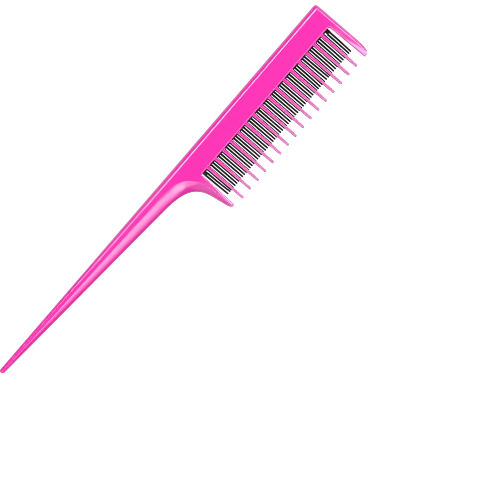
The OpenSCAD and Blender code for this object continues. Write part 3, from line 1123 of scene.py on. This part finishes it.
@dataclass(frozen=True)
class ToothRow:
    """A row of separate tapering teeth with rounded sections, flared roots and round tips.

    Attributes:
        centres: X of each tooth at its root.
        y_root: Y where each tooth leaves its spine or bar.
        y_tip: Y of the tips.
        z_middle: Height of the row's middle.
        half_width: Half the width at root and tip.
        half_depth: Half the thickness at root and tip.
        lean: How far each tip is out of line along X.
        power: How square the section is; 2 is an ellipse.
        flare: Radius of the fillet at the root.
        sunk: How far the root reaches into its spine or bar.
        edge_wear: How worn the section's corners are, next to the tips.
        side_painted_shade: How much painted shade darkens the sides, which fall away from the
            light.
        around: Points round the section.
        along: Sections along the tooth, without those of its tip.
        crowding: Power by which those sections crowd towards the root.
        tip_rings: Sections round the tip.
        tip_turn: How far round the tip's quarter circle its last section is, in degrees.
    """

    centres: Array
    y_root: Array
    y_tip: float
    z_middle: float
    half_width: tuple[float, float]
    half_depth: tuple[float, float]
    lean: Array
    power: float = 3.6
    flare: float = 0.45
    sunk: float = 0.3
    edge_wear: float = 0.25
    # Painted shade on the teeth's sides
    side_painted_shade: float = 0.4
    around: int = 20
    along: int = 22
    crowding: float = 1.5
    tip_rings: int = 8
    tip_turn: float = 84.0

    def shell(self) -> Shell:
        """All teeth of the row in one shell.

        A section is x = a * |cos v|^(2/p), z = b * |sin v|^(2/p) with the signs of the cosine and
        the sine. a and b fall evenly from root to tip, a is wider by r - sqrt(r^2 - (r - s)^2) in
        the fillet at distance s from the root, and both follow a quarter circle at the tip. The
        middle line bends by lean * share^2.

        Returns:
            The closed skins of all the teeth.
        """
        length = (self.y_root - self.y_tip)[:, None]
        radius = self.half_width[1]
        turn = np.linspace(0.0, 1.0, self.tip_rings + 1)[1:] * math.radians(self.tip_turn)
        fall = np.linspace(0.0, 1.0, self.along) ** self.crowding
        even = -self.sunk + (length - radius + self.sunk) * fall
        s = np.concatenate([even, length - radius + radius * np.sin(turn)], 1)
        close = np.concatenate([np.ones(self.along), np.cos(turn)])
        share = clamp01(s / length)
        fillet = self.flare - round_edge(s, self.flare)
        a = (mix(self.half_width[0], self.half_width[1], share) + fillet) * close
        b = mix(self.half_depth[0], self.half_depth[1], share) * close
        v = 2 * math.pi * np.arange(self.around) / self.around
        across, up = (np.sign(w) * np.abs(w) ** (2 / self.power) for w in (np.cos(v), np.sin(v)))
        middle = self.centres[:, None] + self.lean[:, None] * share**2
        x = middle[..., None] + a[..., None] * across
        y = np.broadcast_to((self.y_root[:, None] - s)[..., None], x.shape)
        z = self.z_middle + b[..., None] * up
        points = np.stack([x, y, z], -1)
        teeth, rings = points.shape[:2]
        starts = np.arange(teeth) * rings * self.around
        faces = [face for start in starts for face in tube_faces(rings, self.around, start)]
        edge = self.edge_wear * np.abs(across * up)
        tips = (share**8)[..., None]
        values = {
            Mark.RIM: np.maximum(edge, tips),
            # Painted glow of light through the tooth, paler towards the tip, and painted shade on
            # its sides
            Mark.PAINTED_GLOW: (share**1.3)[..., None],
            Mark.PAINTED_SHADE: self.side_painted_shade * np.abs(across) ** 6,
        }
        marks = {mark: np.broadcast_to(v, x.shape).reshape(-1) for mark, v in values.items()}
        return Shell(points.reshape(-1, 3), faces, marks)


@dataclass(frozen=True)
class InsertBar:
    """The insert's bar, which fills the slot and stands out of it, with a deeper block at each end.

    Attributes:
        at: The shared stations.
        show: How far the bar stands out of the slot.
        block_length: Length of each end block.
        corner: Radius of the long edges.
        wear: How worn it is all over.
        steps: Points round each long edge.
        even_rings: Sections along the stretch between the blocks.
    """

    at: Stations
    show: float = 0.5
    block_length: float = 2.145
    corner: float = 0.15
    wear: float = 0.5
    steps: int = 5
    even_rings: int = 40

    def shell(self) -> Shell:
        """Sections along X: a rounded rectangle whose low side steps down at the two blocks.

        Each section is drawn in by r - sqrt(r^2 - (r - d)^2) at distance d from an end, where r is
        the radius of the edges.

        Returns:
            The bar's closed skin.
        """
        low, high = node_box("insert_bar")
        fine = self.corner * (1 - np.cos(np.radians(np.linspace(0.0, 90.0, self.steps))))
        end = np.array([low[0], high[0]])
        step = np.array([low[0] + self.block_length, high[0] - self.block_length])
        left = np.concatenate([end[0] + fine, step[0] - fine[::-1], step[0] + fine])
        right = np.concatenate([step[1] - fine[::-1], step[1] + fine, end[1] - fine[::-1]])
        even = np.linspace(left[-1], right[0], self.even_rings)[1:-1]
        x = np.concatenate([left, even, right])
        block = (x <= step[0]) | (x >= step[1])
        block[len(left) - self.steps] = False
        block[len(left) + len(even) + self.steps - 1] = False
        y_low = np.where(block, low[1], self.at.y_edge - self.show)
        off_end = np.minimum(x - end[0], end[1] - x)
        inset = self.corner - round_edge(off_end, self.corner)
        half = (high[2] - low[2]) / 2 - inset
        middle = (high[2] + low[2]) / 2
        turn = np.linspace(0.0, math.pi / 2, self.steps)
        quarter = self.corner * np.stack([1 - np.cos(turn), 1 - np.sin(turn)], -1)
        corners = []
        for y_side, z_side in ((0, 1), (1, 1), (1, 0), (0, 0)):
            order = quarter if (y_side + z_side) % 2 else quarter[::-1]
            y = high[1] - order[:, 0] if y_side else (y_low + inset)[:, None] + order[:, 0]
            z = half[:, None] - order[:, 1]
            sides = np.broadcast_arrays(x[:, None], y, middle + (z if z_side else -z))
            corners.append(np.stack(sides, -1))
        rings = np.concatenate(corners, 1)
        return tube(rings, {Mark.RIM: np.full(rings.shape[:2], self.wear)})


# Putting the comb together -----------------------------------------------------------------------


@dataclass(frozen=True)
class Comb:
    """The whole comb: one moulding in six pieces, and the insert in two.

    Attributes:
        long_count: Number of long teeth in a row.
        long_root: Width that the node's box allows for each of them.
        long_half_width: Half their width at root and tip.
        long_half_depth: Half their thickness at root and tip.
        row_shift: How far the rows of long teeth stand off their even places, along X.
        fine_count: Number of fine teeth.
        fine_root: Width that the bar allows for each fine tooth.
        fine_half_width: Half a fine tooth's width at root and tip.
        fine_half_depth: Half its thickness at root and tip.
        fine_shift: How far the fine teeth after the first stand off their even places, along X.
        end_leans: How far the first two and the last two fine teeth lean at their tips.
        bent: For each group of bent fine teeth, the number of its first one and their leans.
    """

    long_count: int = 16
    long_root: float = 1.55
    long_half_width: tuple[float, float] = (0.85, 0.60)
    long_half_depth: tuple[float, float] = (0.75, 0.45)
    row_shift: float = -0.15
    fine_count: int = 66
    fine_root: float = 0.98
    fine_half_width: tuple[float, float] = (0.49, 0.42)
    fine_half_depth: tuple[float, float] = (0.65, 0.45)
    fine_shift: float = -0.1
    end_leans: tuple[float, float, float, float] = (0.3, 0.48, -0.2, -0.36)
    bent: tuple[tuple[int, tuple[float, ...]], ...] = (
        (48, (-0.2, -0.3, -0.3)),
        (52, (0.15, 0.2) + (-0.2,) * 10),
    )

    def long_row(self, node: str, at: Stations) -> ToothRow:
        """The long teeth of one row, where its node's box has them.

        Args:
            node: The row's node.
            at: The shared stations.

        Returns:
            The row.
        """
        low, high = node_box(node)
        inset = self.long_root / 2
        centres = np.linspace(low[0] + inset, high[0] - inset, self.long_count) + self.row_shift
        return ToothRow(
            centres=centres,
            y_root=np.full(self.long_count, at.y_edge),
            y_tip=low[1],
            z_middle=(low[2] + high[2]) / 2,
            half_width=self.long_half_width,
            half_depth=self.long_half_depth,
            lean=np.zeros(self.long_count),
        )

    def fine_row(self, at: Stations, bar: InsertBar) -> ToothRow:
        """The fine teeth between the two rows of long ones, the end pairs on the bar's blocks.

        Args:
            at: The shared stations.
            bar: The bar that they stand on.

        Returns:
            The row.
        """
        bar_low, bar_high = node_box("insert_bar")
        low, high = node_box("fine_teeth")
        inset = self.fine_root / 2
        centres = np.linspace(bar_low[0] + inset, bar_high[0] - inset, self.fine_count)
        centres[1:] += self.fine_shift
        ends = [0, 1, -2, -1]
        y_root = np.full(self.fine_count, at.y_edge - bar.show)
        y_root[ends] = bar_low[1]
        lean = np.zeros(self.fine_count)
        lean[ends] = self.end_leans
        for first, leans in self.bent:
            lean[first : first + len(leans)] = leans
        return ToothRow(
            centres=centres,
            y_root=y_root,
            y_tip=low[1],
            z_middle=(low[2] + high[2]) / 2,
            half_width=self.fine_half_width,
            half_depth=self.fine_half_depth,
            lean=lean,
            power=4.0,
            flare=0.12,
            sunk=0.08,
            around=12,
            along=14,
        )

    def build(self) -> list[bpy.types.Object]:
        """Makes every piece, dresses it and lets it stand for its node.

        Returns:
            The pieces.
        """
        at = Stations.from_frame()
        form = BodyForm(at)
        tail = Tail(form)
        bar = InsertBar(at)
        pink, black = MouldedPink().build(), MouldedBlack().build()
        plan = (
            ("tail", tail, pink, Slot.BODY),
            ("heel_guard", HeelGuard(form, tail), pink, Slot.BODY),
            ("spine", Spine(form), pink, Slot.BODY),
            ("toe_guard", ToeGuard(form), pink, Slot.BODY),
            ("front_teeth", self.long_row("front_teeth", at), pink, Slot.BODY),
            ("back_teeth", self.long_row("back_teeth", at), pink, Slot.BODY),
            ("insert_bar", bar, black, Slot.INSERT),
            ("fine_teeth", self.fine_row(at, bar), black, Slot.INSERT),
        )
        pieces = []
        for node, maker, finish, slot in plan:
            piece = maker.shell().make(f"{node}_skin", finish)
            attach(piece, ROOT)
            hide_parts(node)
            LOG.info("%s: %d faces", piece.name, len(piece.data.polygons))
            pieces.append(piece)
        return pieces


# Studio ------------------------------------------------------------------------------------------


@dataclass(frozen=True)
class SoftBox:
    """A flat soft light that faces the comb.

    Attributes:
        name: The light's name.
        azimuth: Direction from the comb, in degrees round from +X.
        polar: Angle from straight up, in degrees.
        spread: Angles that it fills, along the horizon and up and down.
        radiance: Brightness of its face.
    """

    name: str
    azimuth: float
    polar: float
    spread: tuple[float, float]
    radiance: float

    def build(self, target: Array, distance: float) -> None:
        """Adds the light.

        Args:
            target: The point that it faces, in metres.
            distance: How far from that point it stands, in metres.
        """
        a, p = math.radians(self.azimuth), math.radians(self.polar)
        away = np.array([math.sin(p) * math.cos(a), math.sin(p) * math.sin(a), math.cos(p)])
        wide, tall = (2 * distance * math.tan(math.radians(s) / 2) for s in self.spread)
        light = bpy.data.lights.new(self.name, "AREA")
        light.shape = "RECTANGLE"
        light.size, light.size_y = wide, tall
        light.energy = self.radiance * WATTS_PER_RADIANCE * wide * tall
        lamp = bpy.data.objects.new(self.name, light)
        lamp.location = target + distance * away
        lamp.rotation_euler = (p, 0.0, a + math.pi / 2)
        bpy.context.scene.collection.objects.link(lamp)


@dataclass(frozen=True)
class Studio:
    """A pale floor, soft lights below a darker sky, and the camera straight above the comb.

    Attributes:
        floor_size: Side of the floor, in metres.
        floor_colour: Its colour.
        floor_glow: How much light it gives of itself, as a lit table does.
        floor_gap: How far it lies under the comb, in metres.
        distance: Distance of the lights, in metres.
        boxes: The lights.
        ceiling: Brightness overhead.
        horizon: Brightness at the horizon.
        ceiling_from: Height on a sphere of radius 1 where the ceiling's full brightness begins.
        camera_height: Height of the camera above the comb, in metres.
        middle: Height of the comb's middle plane, in metres.
        field_width: Width of the view at that plane, in metres.
        view_centre: Point under the middle of the view, in metres.
        roll: Turn of the camera about its own axis, in degrees.
        sensor: Width of the camera's sensor, in millimetres.
        filter_width: Width of the smoothing of the picture; less is crisper.
    """

    floor_size: float = 30.0
    floor_colour: Colour = (0.13, 0.13, 0.13, 1.0)
    floor_glow: float = 0.90
    floor_gap: float = 0.00002
    distance: float = 1.4
    boxes: tuple[SoftBox, ...] = (
        SoftBox("front_box", -88.0, 33.0, (42.0, 14.0), 1.7),
        SoftBox("front_head_box", -76.0, 33.0, (22.0, 14.0), 1.1),
        SoftBox("front_low_box", -86.0, 46.0, (36.0, 12.0), 1.2),
        SoftBox("heel_box", -125.0, 32.0, (34.0, 14.0), 1.9),
        SoftBox("heel_low_box", -160.0, 54.0, (40.0, 44.0), 0.4),
        SoftBox("high_box", -175.0, 17.0, (60.0, 11.0), 2.1),
        SoftBox("tail_box", 180.0, 35.0, (16.0, 12.0), 4.2),
        SoftBox("back_strip", 84.0, 36.0, (20.0, 8.0), 17.0),
        SoftBox("corner_strip", 48.0, 44.0, (44.0, 8.0), 8.5),
        SoftBox("head_box", -2.0, 58.0, (30.0, 17.0), 6.4),
    )
    ceiling: float = 0.20
    horizon: float = 0.06
    ceiling_from: float = 0.6
    camera_height: float = 1.6
    middle: float = 0.003
    field_width: float = 0.2371
    view_centre: tuple[float, float] = (0.00621, -0.03561)
    roll: float = -49.26
    sensor: float = 36.0
    filter_width: float = 0.8

    def build_floor(self) -> None:
        """A large flat floor just under the comb, pale, and lit a little from within."""
        half = self.floor_size / 2
        sides = ((-half, -half), (half, -half), (half, half), (-half, half))
        corners = [(x, y, -self.floor_gap) for x, y in sides]
        mesh = bpy.data.meshes.new("floor")
        mesh.from_pydata(corners, [], [(0, 1, 2, 3)])
        g = Graph("floor_paper")
        inputs = {
            "Base Color": self.floor_colour,
            "Roughness": 0.9,
            "Specular IOR Level": 0.1,
            "Emission Color": (1.0, 1.0, 1.0, 1.0),
            "Emission Strength": self.floor_glow,
        }
        mesh.materials.append(g.finish(g.add("ShaderNodeBsdfPrincipled", inputs)))
        floor = bpy.data.objects.new("floor", mesh)
        bpy.context.scene.collection.objects.link(floor)

    def build_world(self) -> None:
        """Light from all round that is dim overhead and dimmer towards the horizon."""
        world = bpy.data.worlds.new("studio")
        bpy.context.scene.world = world
        world.use_nodes = True
        tree = world.node_tree
        tree.nodes.clear()
        ways = tree.nodes.new("ShaderNodeTexCoord")
        split = tree.nodes.new("ShaderNodeSeparateXYZ")
        ramp = tree.nodes.new("ShaderNodeMapRange")
        sky = tree.nodes.new("ShaderNodeBackground")
        out = tree.nodes.new("ShaderNodeOutputWorld")
        tree.links.new(ways.outputs["Generated"], split.inputs[0])
        tree.links.new(split.outputs["Z"], ramp.inputs["Value"])
        ramp.interpolation_type = "SMOOTHSTEP"
        levels = ((1, 0.0), (2, self.ceiling_from), (3, self.horizon), (4, self.ceiling))
        for key, value in levels:
            ramp.inputs[key].default_value = value
        tree.links.new(ramp.outputs["Result"], sky.inputs["Strength"])
        tree.links.new(sky.outputs["Background"], out.inputs["Surface"])

    def build_camera(self) -> None:
        """A long lens straight above, turned so that the comb lies across the view."""
        data = bpy.data.cameras.new("camera")
        data.sensor_width = self.sensor
        data.lens = self.sensor * (self.camera_height - self.middle) / self.field_width
        data.clip_end = 100.0
        camera = bpy.data.objects.new("camera", data)
        camera.location = (*self.view_centre, self.camera_height)
        camera.rotation_euler = (0.0, 0.0, math.radians(self.roll))
        bpy.context.scene.collection.objects.link(camera)
        bpy.context.scene.camera = camera

    def build(self) -> None:
        """Makes the camera, the floor, the lights and the sky, and keeps bright colours true."""
        self.build_camera()
        self.build_floor()
        for box in self.boxes:
            box.build(np.zeros(3), self.distance)
        self.build_world()
        bpy.context.scene.view_settings.view_transform = "Standard"
        bpy.context.scene.cycles.filter_width = self.filter_width


def main() -> None:
    """Builds the studio and the comb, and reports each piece."""
    logging.basicConfig(level=logging.INFO, format="%(message)s")
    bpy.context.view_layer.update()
    Studio().build()
    Comb().build()
    bpy.context.view_layer.update()


if __name__ == "__main__":
    main()
